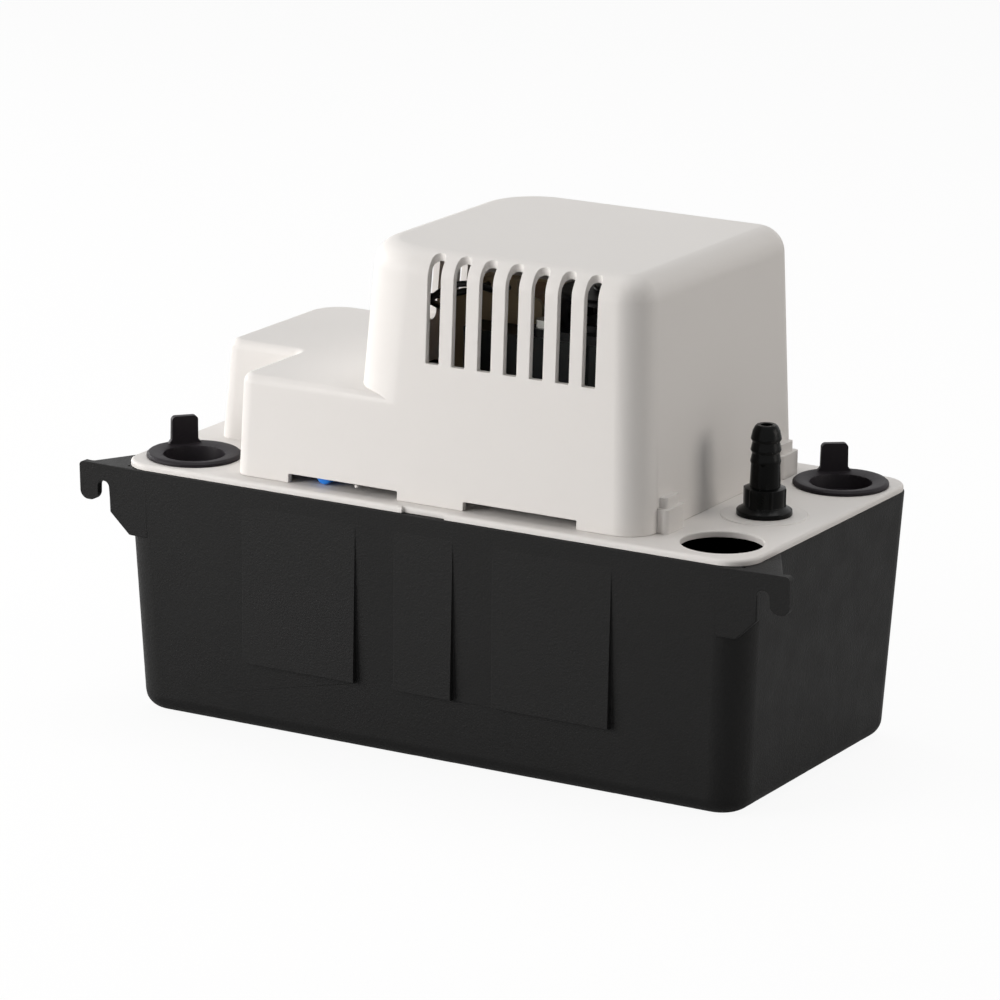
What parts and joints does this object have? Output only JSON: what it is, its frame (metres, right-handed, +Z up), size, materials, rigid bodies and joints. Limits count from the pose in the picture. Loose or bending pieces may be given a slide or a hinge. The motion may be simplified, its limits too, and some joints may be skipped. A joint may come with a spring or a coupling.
{
  "type": "condensate pump",
  "caption": "Low black tank with a white deck and vented two-level motor cover, float switch, vertical pump and barbed outlet.",
  "frame": {"origin": "centre of the tank's footprint, on the plane that its bottom rests on", "axes": "+X along the long side towards the discharge valve, +Y from the side with the hanging ears to the back, +Z up"},
  "size_m": [0.2798, 0.1286, 0.1786],
  "materials": {
    "tank_plastic": "fine textured moulded plastic",
    "white_plastic": "satin moulded plastic",
    "plug_rubber": "moulded rubber",
    "black_gloss": "glossy moulded plastic",
    "black_plastic": "moulded plastic",
    "grey_plastic": "moulded plastic",
    "clear_tube": "clear flexible vinyl",
    "lamination_steel": "varnished steel",
    "coil_tape": "varnished cloth tape",
    "bobbin_plastic": "heat resistant plastic",
    "copper": "bare copper",
    "bronze": "oil filled sintered bronze",
    "bracket_metal": "black painted die casting",
    "zinc_screw": "zinc plated steel",
    "shaft_steel": "ground steel",
    "rotor_metal": "cast aluminium and steel",
    "seal_rubber": "moulded rubber",
    "float_plastic": "closed cell moulded plastic",
    "blue_plastic": "moulded plastic",
    "lead_black": "insulated lead"
  },
  "bodies": {
    "tank": {"tank": "tank_plastic"},
    "deck": {"deck": "white_plastic", "check_valve_body": "black_gloss", "check_valve_inlet": "black_gloss", "valve_seat_ring": "seal_rubber", "valve_spring": "shaft_steel", "discharge_tube": "clear_tube", "pump_column": "white_plastic", "volute_housing": "white_plastic", "volute_cover": "white_plastic", "volute_screws": "zinc_screw", "column_screws": "zinc_screw", "motor_mount": "black_plastic", "mount_screws": "zinc_screw", "lower_bracket": "bracket_metal", "upper_bracket": "bracket_metal", "lower_bearing": "bronze", "upper_bearing": "bronze", "stator_laminations": "lamination_steel", "coil_core": "lamination_steel", "coil_bobbin": "bobbin_plastic", "coil_winding": "coil_tape", "shading_rings": "copper", "motor_bolts": "zinc_screw", "lever_pin": "shaft_steel", "switch_bracket": "black_plastic", "bracket_screws": "zinc_screw", "float_switch": "black_plastic", "switch_screws": "zinc_screw", "switch_terminals": "copper", "wire_connector": "blue_plastic", "motor_lead": "lead_black", "switch_lead": "lead_black"},
    "cover": {"motor_cover": "white_plastic", "cord_grommet": "seal_rubber"},
    "rotor": {"rotor_core": "rotor_metal", "motor_shaft": "shaft_steel", "cooling_fan": "black_plastic", "shaft_slinger": "seal_rubber", "impeller": "grey_plastic"},
    "float": {"float": "float_plastic", "float_rod": "shaft_steel", "rod_clips": "black_plastic"},
    "lever": {"float_lever": "grey_plastic"},
    "button": {"switch_button": "grey_plastic"},
    "poppet": {"valve_poppet": "grey_plastic"},
    "plug_left": {"inlet_plug_left": "plug_rubber"},
    "plug_right": {"inlet_plug_right": "plug_rubber"}
  },
  "joints": [
    {"name": "deck_lift", "type": "slide", "parent": "tank", "child": "deck", "axis": [0, 0, 1], "range_m": [0, 0.11]},
    {"name": "cover_lift", "type": "slide", "parent": "deck", "child": "cover", "axis": [0, 0, 1], "range_m": [0, 0.09]},
    {"name": "rotor_spin", "type": "hinge", "parent": "deck", "child": "rotor", "pos_m": [0.04, 0, 0.135], "axis": [0, 0, 1], "continuous": true},
    {"name": "float_slide", "type": "slide", "parent": "deck", "child": "float", "axis": [0, 0, 1], "range_m": [0, 0.016]},
    {"name": "lever_pivot", "type": "hinge", "parent": "deck", "child": "lever", "pos_m": [-0.034, 0.016, 0.1045], "axis": [0, 1, 0], "range_deg": [0, 20.84]},
    {"name": "button_press", "type": "slide", "parent": "deck", "child": "button", "axis": [0, 0, 1], "range_m": [0, 0.00218]},
    {"name": "poppet_lift", "type": "slide", "parent": "deck", "child": "poppet", "axis": [0, 0, 1], "range_m": [0, 0.0025], "stiffness_N_per_m": 40, "springref_m": -0.002, "deforming": ["valve_spring"]},
    {"name": "plug_left_pull", "type": "slide", "parent": "deck", "child": "plug_left", "axis": [0, 0, 1], "range_m": [0, 0.03]},
    {"name": "plug_right_pull", "type": "slide", "parent": "deck", "child": "plug_right", "axis": [0, 0, 1], "range_m": [0, 0.03]}
  ],
  "couplings": [
    {"joint": "lever_pivot", "follows": "float_slide", "rad_per_m": 22.727},
    {"joint": "button_press", "follows": "float_slide", "ratio": 0.13636}
  ]
}
